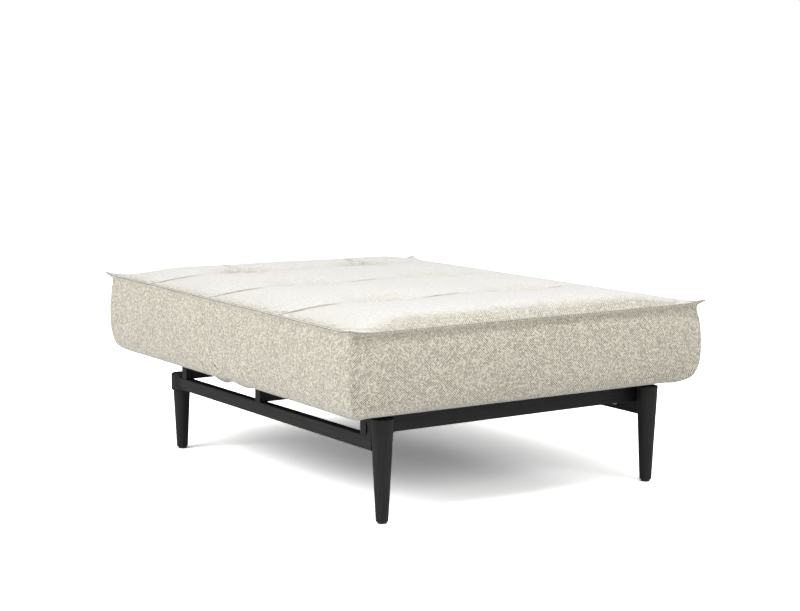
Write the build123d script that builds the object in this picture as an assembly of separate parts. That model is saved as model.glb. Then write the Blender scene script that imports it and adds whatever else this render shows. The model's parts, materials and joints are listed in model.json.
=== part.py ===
from build123d import *
import os
from math import acos, atan2, cos, hypot, radians, sin

# Chair bed, folded flat, in millimetres. +Z is up, the floor is Z = 0 and the front of the seat faces -Y.
# The origin is on the floor under the middle of the mattress. A black stained base of round tapered legs,
# two side rails and three cross rails carries two upholstered panels, the seat in front and the back
# behind. The panels are joined at the fold line by a pair of ratchet hinges, one inside each side.

# Mattress
bed_width = 900.0
bed_length = 1150.0
flange_top = 402.0
flange_thickness = 6.0
flange_overhang = 12.0
ear_reach = 8.0
ear_run = 45.0
fold_y = 70.0
corner_radius = 15.0
underside_inset = 18.0
crest_rise = 15.0
end_crest_rise = 20.0
side_rise = 20.0
side_rise_share = 0.75
side_shoulder = 95.0
crown_rise = 6.0
seam_height = 11.0
seat_seam_share = 0.504
back_seam_share = 0.577
crease_radius = 34.0
tuft_spacing = 344.0
tuft_depth = 18.0
tuft_ball_radius = 115.0
soft_gap = 0.3
side_height_shares = (0.0, 0.05, 0.14, 0.42, 0.72, 0.88, 0.95, 1.0)
side_inset_shares = (1.0, 0.38, 0.16, 0.02, 0.12, 0.3, 0.48, 0.6)

# Legs, glides and rails
leg_side_inset = 96.5
front_leg_inset = 68.0
rear_leg_inset = 196.0
foot_radius = 13.0
leg_top_radius = 24.0
foot_chamfer = 1.5
glide_radius = 10.0
glide_height = 4.0
glide_edge = 1.0
glide_nail_radius = 1.5
glide_nail_length = 16.0
rail_underside = 149.0
rail_height = 29.0
rail_thickness = 22.0
rail_offset = 6.5
rail_edge_radius = 2.0
riser_depth = 19.0
leg_seat_offset = 15.0
cove_height = 30.0
cove_depth = 7.0
boss_radius = 24.8
boss_height = 41.0
boss_drop = 4.8
boss_edge_radius = 3.0
cross_height = 39.0
cross_thickness = 22.0
cross_edge_radius = 1.5
middle_rail_lead = 2.0
rear_rail_lead = 59.0

# Steel panel frames
frame_side_inset = 52.0
frame_end_inset = 75.0
frame_fold_inset = 10.0
bar_width = 50.0
bar_height = 16.0
bar_wall = 2.0
rest_gap = 0.3
strap_width = 60.0
strap_thickness = 2.0
strap_pitch = 130.0
cloth_thickness = 1.0
cloth_side_gap = 12.0

# Ratchet hinges
pivot_height = 372.0
plate_thickness = 4.0
plate_gap = 0.5
pawl_gap = 0.2
pivot_radius = 6.0
pivot_eye_radius = 16.0
rivet_head_radius = 10.0
rivet_head_height = 2.5
running_clearance = 0.05
foot_length = 80.0
foot_bar_gap = 4.0
foot_lift = 1.0
foot_height = 11.0
sector_radius = 30.0
sector_start = -100.0
sector_end = 10.0
notch_root_radius = 24.2
notch_root_half_width = 2.7
notch_mouth_half_width = 4.4
upright_angle = 65.0
lounge_angle = 30.0
tooth_angle = -72.0
tooth_tip_radius = 25.0
tooth_tip_half_width = 1.8
tooth_base_radius = 35.0
tooth_base_half_width = 4.0
pawl_pin_reach = 44.0
pawl_pin_angle = -35.0
pawl_pin_radius = 4.0
pawl_hub_radius = 8.0
pawl_lift_angle = 14.0
pawl_boss_radius = 11.0
pin_head_radius = 7.0
pin_head_height = 1.8
spring_thickness = 1.0
spring_gap = 0.4
spring_rise = 6.0
spring_drop = 20.0
spring_eye_radius = 4.0
slot_side_gap = 3.5
slot_end_gap = 16.0
slot_head_room = 2.5

# Fasteners
bolt_radius = 3.0
bolt_head_radius = 6.0
bolt_head_height = 4.0
bolt_clearance = 0.15
bolt_end = 8.0
small_head_radius = 5.5
small_head_height = 3.0
leg_bolt_depth = 18.0
leg_bolt_drop = 20.0
stud_radius = 4.0
stud_up = 28.0
stud_down = 40.0
stud_clearance = 0.1
front_bolt_inset = 56.0
counterbore_depth = 5.0
counterbore_radius = 7.0
screw_depth = 28.0
overrun = 5.0

# Places that follow from the sizes above
leg_x = bed_width / 2 - leg_side_inset
front_leg_y = -bed_length / 2 + front_leg_inset
rear_leg_y = bed_length / 2 - rear_leg_inset
rail_top = rail_underside + rail_height
cross_top = rail_top + cross_height
rail_x = leg_x + rail_offset
cross_length = 2 * rail_x + rail_thickness
leg_seat_y = front_leg_y + leg_seat_offset
front_rail_y = leg_seat_y + riser_depth
arm_reach = frame_fold_inset + bar_width + foot_bar_gap + foot_length / 2
middle_rail_y = fold_y - arm_reach - middle_rail_lead
rear_rail_y = rear_leg_y - rear_rail_lead
boss_underside = rail_underside - boss_drop
leg_bolt_z = cross_top - leg_bolt_drop
front_bolt_x = leg_x - front_bolt_inset
frame_top = cross_top + bar_height
pad_underside = frame_top + soft_gap
seat_half_width = bed_width / 2 - frame_side_inset
back_half_width = seat_half_width - plate_thickness - plate_gap
frame_front_y = -bed_length / 2 + frame_end_inset
frame_rear_y = bed_length / 2 - frame_end_inset
seat_frame_rear_y = fold_y - frame_fold_inset
back_frame_front_y = fold_y + frame_fold_inset
seat_plate_x = seat_half_width - bar_width - plate_thickness
back_plate_x = back_half_width - bar_width - plate_thickness
pawl_x = back_plate_x + plate_thickness + pawl_gap
crease_offset = (crease_radius + soft_gap) / cos(radians(upright_angle / 2))
fold_face_offset = crease_offset - crease_radius
seam_top = flange_top + seam_height
pawl_pin_y = pawl_pin_reach * cos(radians(pawl_pin_angle))
pawl_pin_z = pawl_pin_reach * sin(radians(pawl_pin_angle))
foot_drop = pivot_height - cross_top - foot_lift - foot_height / 2
hinge_zone = arm_reach + foot_length / 2


def leg_radius(height):
    """Radius of the straight taper at a height above the floor."""
    return foot_radius + (leg_top_radius - foot_radius) * height / cross_top


def leg(top):
    """Round tapered leg standing on its glide, with the pilot hole for the glide's nail."""
    profile = Polyline(
        (0, glide_height),
        (foot_radius - foot_chamfer, glide_height),
        (leg_radius(glide_height), glide_height + foot_chamfer),
        (leg_radius(top), top),
        (0, top),
        close=True,
    )
    body = revolve(Plane.XZ * make_face(profile), Axis.Z)
    pilot = Pos(0, 0, glide_height) * cylinder_up(glide_nail_radius, glide_nail_length)
    return body - pilot


def cylinder_up(radius, height):
    """Cylinder from the local origin upwards."""
    return extrude(Circle(radius), height)


def front_leg():
    """Front leg on the right, up to the panel frame, with a flat seat for the side rail and a bolt hole."""
    rail_seat = Pos(0, leg_seat_offset, rail_underside) * Box(
        2 * leg_top_radius, leg_top_radius, cross_top, align=(Align.CENTER, Align.MIN, Align.MIN)
    )
    hole = Pos(rail_offset, leg_seat_offset, leg_bolt_z) * Rot(90, 0, 0) * cylinder_up(
        bolt_radius + bolt_clearance, leg_bolt_depth + bolt_end
    )
    return leg(cross_top) - rail_seat - hole


def rear_leg():
    """Shorter rear leg under the boss of the side rail, bored for its stud."""
    bore = Pos(0, 0, boss_underside - stud_down) * cylinder_up(stud_radius + stud_clearance, stud_down)
    return leg(boss_underside) - bore


def foot_glide():
    """Nailed glide under a foot."""
    profile = Polyline(
        (0, 0),
        (glide_radius - glide_edge, 0),
        (glide_radius, glide_edge),
        (glide_radius, glide_height),
        (glide_nail_radius, glide_height),
        (glide_nail_radius, glide_height + glide_nail_length),
        (0, glide_height + glide_nail_length),
        close=True,
    )
    return revolve(Plane.XZ * make_face(profile), Axis.Z)


def side_rail():
    """Right side rail: riser behind the front leg, round boss over the rear leg, board outward of both."""
    section = Plane.XZ * Pos(rail_offset, rail_underside + rail_height / 2) * RectangleRounded(
        rail_thickness, rail_height, rail_edge_radius
    )
    board = Pos(0, rear_leg_y, 0) * extrude(section, rear_leg_y - leg_seat_y)
    riser = side_plate(riser_outline(), rail_offset - rail_thickness / 2, rail_thickness)
    boss = cylinder_up(boss_radius, boss_height)
    boss = fillet(boss.edges().filter_by(GeomType.CIRCLE), boss_edge_radius)
    rail = board + riser + Pos(0, rear_leg_y, boss_underside) * boss
    rail -= Pos(0, rear_leg_y, boss_underside) * cylinder_up(stud_radius + stud_clearance, stud_up)
    for y in (middle_rail_y, rear_rail_y):
        place = Pos(rail_offset, y + cross_thickness / 2, rail_underside)
        rail -= place * cylinder_up(bolt_radius + bolt_clearance, rail_height + overrun)
        rail -= place * cylinder_up(counterbore_radius, counterbore_depth)
    hole = Pos(rail_offset, leg_seat_y, leg_bolt_z) * Rot(-90, 0, 0) * cylinder_up(
        bolt_radius + bolt_clearance, riser_depth + overrun
    )
    return rail - hole


def riser_outline():
    """Outline in Y and Z of the riser, hollowed by a cove beside the front cross rail."""
    cove_top = rail_top + cove_height
    cove = ThreePointArc(
        (front_rail_y, rail_top),
        (front_rail_y - cove_depth, rail_top + cove_height / 2),
        (front_rail_y, cove_top),
    )
    rest = Polyline(
        (front_rail_y, cove_top),
        (front_rail_y, cross_top),
        (leg_seat_y, cross_top),
        (leg_seat_y, rail_top - rail_edge_radius),
        (front_rail_y, rail_top - rail_edge_radius),
        (front_rail_y, rail_top),
    )
    return make_face(Curve() + [cove, rest])


def side_plate(outline, x, thickness):
    """A flat piece whose outline is drawn in Y and Z, from x towards +X."""
    return Pos(x, 0, 0) * extrude(Plane.YZ * outline, thickness)


def cross_rail(y, height):
    """Cross rail standing on both side rails, its ends flush with their outer faces."""
    section = Plane.YZ * Pos(y + cross_thickness / 2, rail_top + height / 2) * RectangleRounded(
        cross_thickness, height, cross_edge_radius
    )
    return Pos(-cross_length / 2, 0, 0) * extrude(section, cross_length)


def bolt(length, radius, head_radius, head_height):
    """Bolt pointing up from the origin, its domed head below."""
    shank = cylinder_up(radius, length)
    head = Pos(0, 0, -head_height) * cylinder_up(head_radius, head_height)
    head = fillet(head.edges().group_by(Axis.Z)[0], head_height / 2)
    return shank + head


def hole_up(x, y, z, height):
    """Clearance hole for a bolt that points up."""
    return Pos(x, y, z) * cylinder_up(bolt_radius + bolt_clearance, height)


def front_cross_rail():
    """Front cross rail, bored for the leg bolts and for the panel frame's bolts."""
    rail = cross_rail(front_rail_y, cross_height)
    centre_y = front_rail_y + cross_thickness / 2
    for side in (-1, 1):
        leg_hole = cylinder_up(bolt_radius + bolt_clearance, cross_thickness + overrun)
        rail -= Pos(side * rail_x, front_rail_y, leg_bolt_z) * Rot(-90, 0, 0) * leg_hole
        rail -= hole_up(side * front_bolt_x, centre_y, rail_top, cross_height + overrun)
    return rail


def middle_cross_rail():
    """Middle cross rail, bored through for the long frame bolts."""
    rail = cross_rail(middle_rail_y, cross_height)
    for side in (-1, 1):
        rail -= hole_up(side * rail_x, middle_rail_y + cross_thickness / 2, rail_top, cross_height + overrun)
    return rail


def rear_cross_rail():
    """Rear cross rail, lower by the gap at which the back panel comes to rest on it."""
    rail = cross_rail(rear_rail_y, cross_height - rest_gap)
    for side in (-1, 1):
        rail -= hole_up(side * rail_x, rear_rail_y + cross_thickness / 2, rail_top, screw_depth)
    return rail


def front_leg_bolts():
    """Two bolts through the front cross rail and the riser into each front leg."""
    length = cross_thickness + riser_depth + leg_bolt_depth
    one = Rot(90, 0, 0) * bolt(length, bolt_radius, bolt_head_radius, bolt_head_height)
    return [Pos(side * rail_x, front_rail_y + cross_thickness, leg_bolt_z) * one for side in (-1, 1)]


def front_frame_bolts():
    """Two bolts up through the front cross rail into the seat frame."""
    length = cross_height + bar_wall + bolt_end
    one = bolt(length, bolt_radius, bolt_head_radius, bolt_head_height)
    centre_y = front_rail_y + cross_thickness / 2
    return [Pos(side * front_bolt_x, centre_y, rail_top) * one for side in (-1, 1)]


def middle_frame_bolts():
    """Two long bolts up through side rail and middle cross rail into the seat frame."""
    length = rail_height - counterbore_depth + cross_height + bar_wall + bolt_end
    one = bolt(length, bolt_radius, bolt_head_radius, bolt_head_height)
    centre_y = middle_rail_y + cross_thickness / 2
    return [Pos(side * rail_x, centre_y, rail_underside + counterbore_depth) * one for side in (-1, 1)]


def rear_rail_screws():
    """Two screws up through the side rails into the rear cross rail."""
    length = rail_height - counterbore_depth + screw_depth
    one = bolt(length, bolt_radius, bolt_head_radius, bolt_head_height)
    centre_y = rear_rail_y + cross_thickness / 2
    return [Pos(side * rail_x, centre_y, rail_underside + counterbore_depth) * one for side in (-1, 1)]


def rear_leg_studs():
    """Two threaded studs between the rear legs and the bosses."""
    stud = cylinder_up(stud_radius, stud_up + stud_down)
    return [Pos(side * leg_x, rear_leg_y, boss_underside - stud_down) * stud for side in (-1, 1)]


def mitred_bar(length):
    """Rectangular tube with mitred ends along X, its outer edge on the local X axis, its body towards +Y."""
    outer = trapezoid(length / 2, 0, bar_width)
    inner = trapezoid(length / 2, bar_wall, bar_width - bar_wall)
    core = Pos(0, 0, bar_wall) * extrude(inner, bar_height - 2 * bar_wall)
    return extrude(outer, bar_height) - core


def trapezoid(half_length, near, far):
    """Area between two lines parallel to X, cut off by the 45 degree mitres at both ends."""
    outline = Polyline(
        (-half_length + near, near),
        (half_length - near, near),
        (half_length - far, far),
        (-half_length + far, far),
        close=True,
    )
    return make_face(outline)


def panel_frame(half_width, front_y, rear_y):
    """The four mitred bars of one panel frame: front, rear, left and right."""
    middle_y = (front_y + rear_y) / 2
    across = mitred_bar(2 * half_width)
    along = mitred_bar(rear_y - front_y)
    return {
        "front": Pos(0, front_y, cross_top) * across,
        "rear": Pos(0, rear_y, cross_top) * Rot(0, 0, 180) * across,
        "left": Pos(-half_width, middle_y, cross_top) * Rot(0, 0, -90) * along,
        "right": Pos(half_width, middle_y, cross_top) * Rot(0, 0, 90) * along,
    }


def webbing(half_width, front_y, rear_y):
    """Elastic straps between the bars, the crosswise ones above the others and clear of the hinges."""
    inner_x = half_width - bar_width
    inner_front_y = front_y + bar_width
    inner_rear_y = rear_y - bar_width
    length = inner_rear_y - inner_front_y
    across_z = frame_top - strap_thickness / 2
    straps = []
    for x in strap_places(-inner_x, inner_x):
        strap = Box(strap_width, length, strap_thickness)
        straps.append(Pos(x, (inner_front_y + inner_rear_y) / 2, across_z - strap_thickness) * strap)
    if front_y < fold_y:
        across_places = strap_places(inner_front_y, fold_y - hinge_zone)
    else:
        across_places = strap_places(fold_y + hinge_zone, inner_rear_y)
    for y in across_places:
        straps.append(Pos(0, y, across_z) * Box(2 * inner_x, strap_width, strap_thickness))
    return straps


def strap_places(start, end):
    """Centres of as many straps as fit between two places at the strap pitch, about the middle."""
    count = int((end - start - strap_width) / strap_pitch) + 1
    middle = (start + end) / 2
    return [middle + (index - (count - 1) / 2) * strap_pitch for index in range(count)]


def dust_cloth(half_width, front_y, rear_y):
    """Thin cloth stapled up under the straps."""
    cloth_z = frame_top - 2 * strap_thickness - cloth_thickness / 2
    width = 2 * (half_width - bar_width - cloth_side_gap)
    length = rear_y - front_y - 2 * bar_width
    return Pos(0, (front_y + rear_y) / 2, cloth_z) * Box(width, length, cloth_thickness)


def link(start, start_radius, end, end_radius):
    """Tapered link: the outline around two circles and their outer tangents."""
    run = (end[0] - start[0], end[1] - start[1])
    heading = atan2(run[1], run[0])
    spread = acos((start_radius - end_radius) / hypot(run[0], run[1]))
    corners = []
    for centre, radius, signs in ((start, start_radius, (1, -1)), (end, end_radius, (-1, 1))):
        for sign in signs:
            angle = heading + sign * spread
            corners.append((centre[0] + radius * cos(angle), centre[1] + radius * sin(angle)))
    area = make_face(Polyline(*corners, close=True))
    return area + Pos(*start) * Circle(start_radius) + Pos(*end) * Circle(end_radius)


def polar(radius, angle, across=0.0):
    """Point at a radius and an angle in degrees, moved sideways by a length."""
    direction = radians(angle)
    return (
        radius * cos(direction) - across * sin(direction),
        radius * sin(direction) + across * cos(direction),
    )


def notch(angle):
    """One notch of the ratchet sector, open at the rim."""
    outline = Polyline(
        polar(notch_root_radius, angle, -notch_root_half_width),
        polar(sector_radius + overrun, angle, -notch_mouth_half_width),
        polar(sector_radius + overrun, angle, notch_mouth_half_width),
        polar(notch_root_radius, angle, notch_root_half_width),
        close=True,
    )
    return make_face(outline)


def hinge_foot(near):
    """Foot of a hinge arm along its frame bar, centred at a distance from the pivot."""
    return Pos(near, -foot_drop) * Rectangle(foot_length, foot_height)


def seat_arm():
    """Seat-side hinge plate: foot, arm, pivot eye and the ratchet sector with its three notches."""
    outline = link((0, 0), pivot_eye_radius, (-arm_reach, -foot_drop), foot_height / 2)
    outline += hinge_foot(-arm_reach)
    middle_angle = (sector_start + sector_end) / 2
    far = 2 * sector_radius
    wedge = Polyline(
        (0, 0), polar(far, sector_start), polar(far, middle_angle), polar(far, sector_end), close=True
    )
    outline += Circle(sector_radius) & make_face(wedge)
    for angle in (0, lounge_angle, upright_angle):
        outline -= notch(tooth_angle + angle)
    outline -= Circle(pivot_radius)
    plate = side_plate(Pos(fold_y, pivot_height) * outline, seat_plate_x, plate_thickness)
    return plate - foot_holes(-arm_reach, seat_plate_x)


def back_arm():
    """Back-side hinge plate, which turns on the pivot rivet and carries the pawl."""
    foot_place = (arm_reach, -foot_drop)
    pawl_place = (pawl_pin_y, pawl_pin_z)
    outline = link((0, 0), pivot_eye_radius, foot_place, foot_height / 2)
    outline += link((0, 0), pivot_eye_radius, pawl_place, pawl_boss_radius)
    outline += link(pawl_place, pawl_boss_radius, foot_place, foot_height / 2)
    spring_y, spring_z = spring_eye()
    outline += link(pawl_place, pawl_boss_radius, (spring_y, spring_z), spring_eye_radius)
    outline += hinge_foot(arm_reach)
    outline -= Circle(pivot_radius + running_clearance)
    outline -= Pos(*pawl_place) * Circle(pawl_pin_radius)
    plate = side_plate(Pos(fold_y, pivot_height) * outline, back_plate_x, plate_thickness)
    return plate - foot_holes(arm_reach, back_plate_x)


def foot_bolt_places(reach):
    """Y and Z of the two bolts in a hinge foot."""
    z = pivot_height - foot_drop
    return [(fold_y + reach + side * foot_length / 3, z) for side in (-1, 1)]


def foot_holes(reach, x):
    """Clearance holes for the bolts of a hinge foot, along X."""
    length = plate_thickness + bar_wall + 2 * overrun
    hole = Rot(0, 90, 0) * cylinder_up(bolt_radius + bolt_clearance, length)
    return [Pos(x - overrun, y, z) * hole for y, z in foot_bolt_places(reach)]


def foot_bolts(reach, x):
    """The two bolts of a hinge foot, heads towards the middle of the bed."""
    length = plate_thickness + bar_wall + bolt_end
    one = Rot(0, 90, 0) * bolt(length, bolt_radius, small_head_radius, small_head_height)
    return [Pos(x, y, z) * one for y, z in foot_bolt_places(reach)]


def pivot_rivet():
    """Rivet on the fold axis, fixed in the seat plate, with a head on each side of the two plates."""
    start_x = back_plate_x - pawl_gap
    length = seat_plate_x + plate_thickness - start_x
    rivet = Pos(start_x, fold_y, pivot_height) * Rot(0, 90, 0) * (
        cylinder_up(pivot_radius, length)
        + Pos(0, 0, -rivet_head_height) * cylinder_up(rivet_head_radius, rivet_head_height)
        + Pos(0, 0, length) * cylinder_up(rivet_head_radius, rivet_head_height)
    )
    return rivet


def pawl_pin():
    """Pin fixed in the back plate, on which the pawl swings, with a head outside the pawl."""
    length = plate_thickness + pawl_gap + plate_thickness + pawl_gap
    head = Pos(0, 0, length) * cylinder_up(pin_head_radius, pin_head_height)
    pin = cylinder_up(pawl_pin_radius, length) + head
    return Pos(back_plate_x, fold_y + pawl_pin_y, pivot_height + pawl_pin_z) * Rot(0, 90, 0) * pin


def pawl():
    """Pawl with its tooth, parked clear of the sector as it is when the bed lies flat."""
    pin_place = (pawl_pin_y, pawl_pin_z)
    base = polar(tooth_base_radius, tooth_angle)
    body = link(pin_place, pawl_hub_radius, base, tooth_base_half_width)
    tooth = Polyline(
        polar(tooth_tip_radius, tooth_angle, -tooth_tip_half_width),
        polar(tooth_base_radius, tooth_angle, -tooth_base_half_width),
        polar(tooth_base_radius, tooth_angle, tooth_base_half_width),
        polar(tooth_tip_radius, tooth_angle, tooth_tip_half_width),
        close=True,
    )
    outline = body + make_face(tooth)
    outline -= Pos(*pin_place) * Circle(pawl_pin_radius + running_clearance)
    parked = Pos(*pin_place) * Rot(0, 0, pawl_lift_angle) * Pos(-pawl_pin_y, -pawl_pin_z) * outline
    return side_plate(Pos(fold_y, pivot_height) * parked, pawl_x, plate_thickness)


def spring_eye():
    """Place of the spring's eye beside and below the pawl pin, from the pivot."""
    spring_y = pawl_pin_y + pawl_hub_radius + spring_gap + spring_eye_radius
    return spring_y, pawl_pin_z - spring_drop


def pawl_spring():
    """Leaf spring fixed to the back plate by its eye, its blade beside the pawl's hub."""
    blade_y = pawl_pin_y + pawl_hub_radius + spring_gap + spring_thickness / 2
    eye_y, eye_z = spring_eye()
    height = pawl_pin_z + spring_rise - eye_z
    blade = Pos(blade_y, eye_z + height / 2) * Rectangle(spring_thickness, height)
    outline = Pos(fold_y, pivot_height) * (blade + Pos(eye_y, eye_z) * Circle(spring_eye_radius))
    return side_plate(outline, back_plate_x + plate_thickness, plate_thickness)


def mattress_sides():
    """Body below the flange: drawn in under it, fullest low down and rounded in at the bottom."""
    height = flange_top - flange_thickness - pad_underside
    sections = []
    for height_share, inset_share in zip(side_height_shares, side_inset_shares):
        inset = underside_inset * inset_share
        outline = RectangleRounded(bed_width - 2 * inset, bed_length - 2 * inset, corner_radius)
        sections.append(Pos(0, 0, pad_underside + height_share * height) * outline)
    return loft(sections)


def flange():
    """Sewn flange all round the top edge, with pointed ears at the corners."""
    half_width = bed_width / 2
    half_length = bed_length / 2
    outline = Polyline(
        (half_width + ear_reach, half_length + ear_reach),
        (half_width - ear_run, half_length),
        (-half_width + ear_run, half_length),
        (-half_width - ear_reach, half_length + ear_reach),
        (-half_width, half_length - ear_run),
        (-half_width, -half_length + ear_run),
        (-half_width - ear_reach, -half_length - ear_reach),
        (-half_width + ear_run, -half_length),
        (half_width - ear_run, -half_length),
        (half_width + ear_reach, -half_length - ear_reach),
        (half_width, -half_length + ear_run),
        (half_width, half_length - ear_run),
        close=True,
    )
    return Pos(0, 0, flange_top - flange_thickness) * extrude(make_face(outline), flange_thickness)


def crown():
    """Upper filling across the width: quick rounded rise at both sides, then a slow crown."""
    edge_x = bed_width / 2 - flange_overhang
    shoulder_x = edge_x - side_shoulder
    shoulder_z = flange_top + side_rise
    rise_z = flange_top + side_rise * side_rise_share
    rise_x = edge_x - side_shoulder / 2
    arcs = [
        ThreePointArc((-edge_x, flange_top), (-rise_x, rise_z), (-shoulder_x, shoulder_z)),
        ThreePointArc((-shoulder_x, shoulder_z), (0, shoulder_z + crown_rise), (shoulder_x, shoulder_z)),
        ThreePointArc((shoulder_x, shoulder_z), (rise_x, rise_z), (edge_x, flange_top)),
    ]
    base_z = flange_top - flange_thickness
    rest = Polyline((edge_x, flange_top), (edge_x, base_z), (-edge_x, base_z), (-edge_x, flange_top))
    length = bed_length - 2 * flange_overhang
    return Pos(0, length / 2, 0) * extrude(Plane.XZ * make_face(Curve() + arcs + [rest]), length)


def bulge(start, end, rise):
    """Arc of one channel of filling between two seams."""
    middle = ((start[0] + end[0]) / 2, (start[1] + end[1]) / 2 + rise)
    return ThreePointArc(start, middle, end)


def panel_profile(panel_length, seam_distance):
    """Side view of one panel from the fold, as distance from the fold line and height."""
    slope = atan2(4 * crest_rise, panel_length)
    crease_y = crease_offset - crease_radius * sin(slope)
    crease_top = pivot_height + crease_radius * cos(slope)
    half = (1 - sin(radians(45))) * crease_radius
    crease_middle = (fold_face_offset + half, pivot_height + crease_radius - half)
    seam = (seam_distance, seam_top)
    outer = (panel_length - flange_overhang, flange_top)
    edges = [
        ThreePointArc((fold_face_offset, pivot_height), crease_middle, (crease_y, crease_top)),
        bulge((crease_y, crease_top), seam, crest_rise),
        bulge(seam, outer, end_crest_rise),
        Polyline(
            outer,
            (panel_length + flange_overhang, flange_top),
            (panel_length + flange_overhang, pad_underside),
            (soft_gap / 2, pad_underside),
            (soft_gap / 2, pivot_height - crease_radius),
            (fold_face_offset, pivot_height),
        ),
    ]
    return make_face(Curve() + edges)


def tufts(seam_distance):
    """Rounded dimples of the sewn tufts, on the panel's middle seam and on the fold."""
    centre_z = seam_top - tuft_depth + tuft_ball_radius
    balls = []
    for side in (-1, 1):
        for y in (0, seam_distance):
            balls.append(Pos(side * tuft_spacing / 2, y, centre_z) * Sphere(tuft_ball_radius))
    return balls


def panel_pad(direction, panel_length, seam_share):
    """Upholstered panel on one side of the fold: direction -1 is the seat, 1 the back."""
    seam_distance = panel_length * seam_share
    width = bed_width + 2 * flange_overhang
    profile = panel_profile(panel_length, seam_distance)
    side_view = Pos(-width / 2, 0, 0) * extrude(Plane.YZ * profile, width)
    cushion = mattress_sides() + flange() + crown()
    if direction < 0:
        side_view = mirror(side_view, about=Plane.XZ)
    pad = cushion & (Pos(0, fold_y, 0) * side_view)
    for tuft in tufts(seam_distance):
        pad -= Pos(0, fold_y, 0) * (mirror(tuft, about=Plane.XZ) if direction < 0 else tuft)
    for side in (-1, 1):
        pad -= hinge_slot(side, direction)
    return pad


def hinge_slot(side, direction):
    """Narrow slot in a pad in which a hinge works, open at the fold and at the underside."""
    reach = arm_reach + slot_end_gap
    inner_x = back_plate_x - rivet_head_height - slot_side_gap
    outer_x = seat_plate_x + plate_thickness + rivet_head_height + slot_side_gap
    slot_top = pivot_height + pivot_eye_radius + slot_head_room
    slot = Box(outer_x - inner_x, reach + overrun, slot_top - pad_underside + overrun)
    centre_x = side * (inner_x + outer_x) / 2
    centre_y = fold_y + direction * (reach - overrun) / 2
    return Pos(centre_x, centre_y, (slot_top + pad_underside - overrun) / 2) * slot


def left_of(shape):
    """Mirror image of a piece on the right, for the left."""
    return mirror(shape, about=Plane.YZ)


def base_nodes():
    """Legs, glides, rails and their fasteners."""
    nodes = {}
    glide = foot_glide()
    legs = {"front": (front_leg(), front_leg_y), "rear": (rear_leg(), rear_leg_y)}
    for end, (one_leg, y) in legs.items():
        for piece, shape in (("leg", one_leg), ("foot_glide", glide)):
            nodes[f"{piece}_{end}_right"] = Pos(leg_x, y, 0) * shape
            nodes[f"{piece}_{end}_left"] = left_of(Pos(leg_x, y, 0) * shape)
    nodes["side_rail_right"] = Pos(leg_x, 0, 0) * side_rail()
    nodes["side_rail_left"] = left_of(nodes["side_rail_right"])
    nodes["cross_rail_front"] = front_cross_rail()
    nodes["cross_rail_middle"] = middle_cross_rail()
    nodes["cross_rail_rear"] = rear_cross_rail()
    nodes["rear_leg_studs"] = rear_leg_studs()
    nodes["front_leg_bolts"] = front_leg_bolts()
    nodes["front_frame_bolts"] = front_frame_bolts()
    nodes["middle_frame_bolts"] = middle_frame_bolts()
    nodes["rear_rail_screws"] = rear_rail_screws()
    return nodes


def frame_nodes():
    """Steel frames, straps and cloths of both panels."""
    nodes = {}
    panels = {
        "seat": (seat_half_width, frame_front_y, seat_frame_rear_y, -arm_reach, seat_plate_x),
        "back": (back_half_width, back_frame_front_y, frame_rear_y, arm_reach, back_plate_x),
    }
    for panel, (half_width, front_y, rear_y, reach, plate_x) in panels.items():
        bars = panel_frame(half_width, front_y, rear_y)
        bars["right"] -= foot_holes(reach, plate_x)
        bars["left"] -= [left_of(hole) for hole in foot_holes(reach, plate_x)]
        if panel == "seat":
            drill_seat_frame(bars)
        for place, bar in bars.items():
            nodes[f"{panel}_frame_{place}"] = bar
        nodes[f"{panel}_webbing"] = webbing(half_width, front_y, rear_y)
        nodes[f"{panel}_dust_cloth"] = dust_cloth(half_width, front_y, rear_y)
    return nodes


def drill_seat_frame(bars):
    """Holes in the lower walls of the seat frame for the bolts from the cross rails."""
    hole_height = bar_wall + overrun
    for side in (-1, 1):
        front_y = front_rail_y + cross_thickness / 2
        bars["front"] -= hole_up(side * front_bolt_x, front_y, cross_top - overrun / 2, hole_height)
        middle_y = middle_rail_y + cross_thickness / 2
        place = "left" if side < 0 else "right"
        bars[place] -= hole_up(side * rail_x, middle_y, cross_top - overrun / 2, hole_height)


def hinge_nodes():
    """Both ratchet hinges, right and mirrored left, and their bolts."""
    nodes = {}
    pieces = {
        "seat_hinge_arm": seat_arm(),
        "back_hinge_arm": back_arm(),
        "hinge_rivet": pivot_rivet(),
        "pawl": pawl(),
        "pawl_pin": pawl_pin(),
        "pawl_spring": pawl_spring(),
    }
    for name, piece in pieces.items():
        nodes[f"{name}_right"] = piece
        nodes[f"{name}_left"] = left_of(piece)
    for panel, reach, x in (("seat", -arm_reach, seat_plate_x), ("back", arm_reach, back_plate_x)):
        right = foot_bolts(reach, x)
        nodes[f"{panel}_hinge_bolts"] = right + [left_of(one) for one in right]
    return nodes


def pad_nodes():
    """The two upholstered pads."""
    return {
        "seat_pad": panel_pad(-1, fold_y + bed_length / 2, seat_seam_share),
        "back_pad": panel_pad(1, bed_length / 2 - fold_y, back_seam_share),
    }


def write(name, shape):
    """Write one node, a single solid or a group of separate solids."""
    solids = shape if isinstance(shape, list) else [shape]
    bodies = [solid for one in solids for solid in one.solids()]
    export_step(bodies[0] if len(bodies) == 1 else Compound(bodies), f"parts/{name}.step")


os.makedirs("parts", exist_ok=True)
for node_name, node_shape in {**base_nodes(), **frame_nodes(), **hinge_nodes(), **pad_nodes()}.items():
    write(node_name, node_shape)
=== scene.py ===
"""The looks of the chair bed: its mattress in flecked cream tweed on the black stained timber base."""

import json
import math

import bpy
import numpy as np
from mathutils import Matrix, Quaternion, Vector
from mathutils.bvhtree import BVHTree


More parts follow.
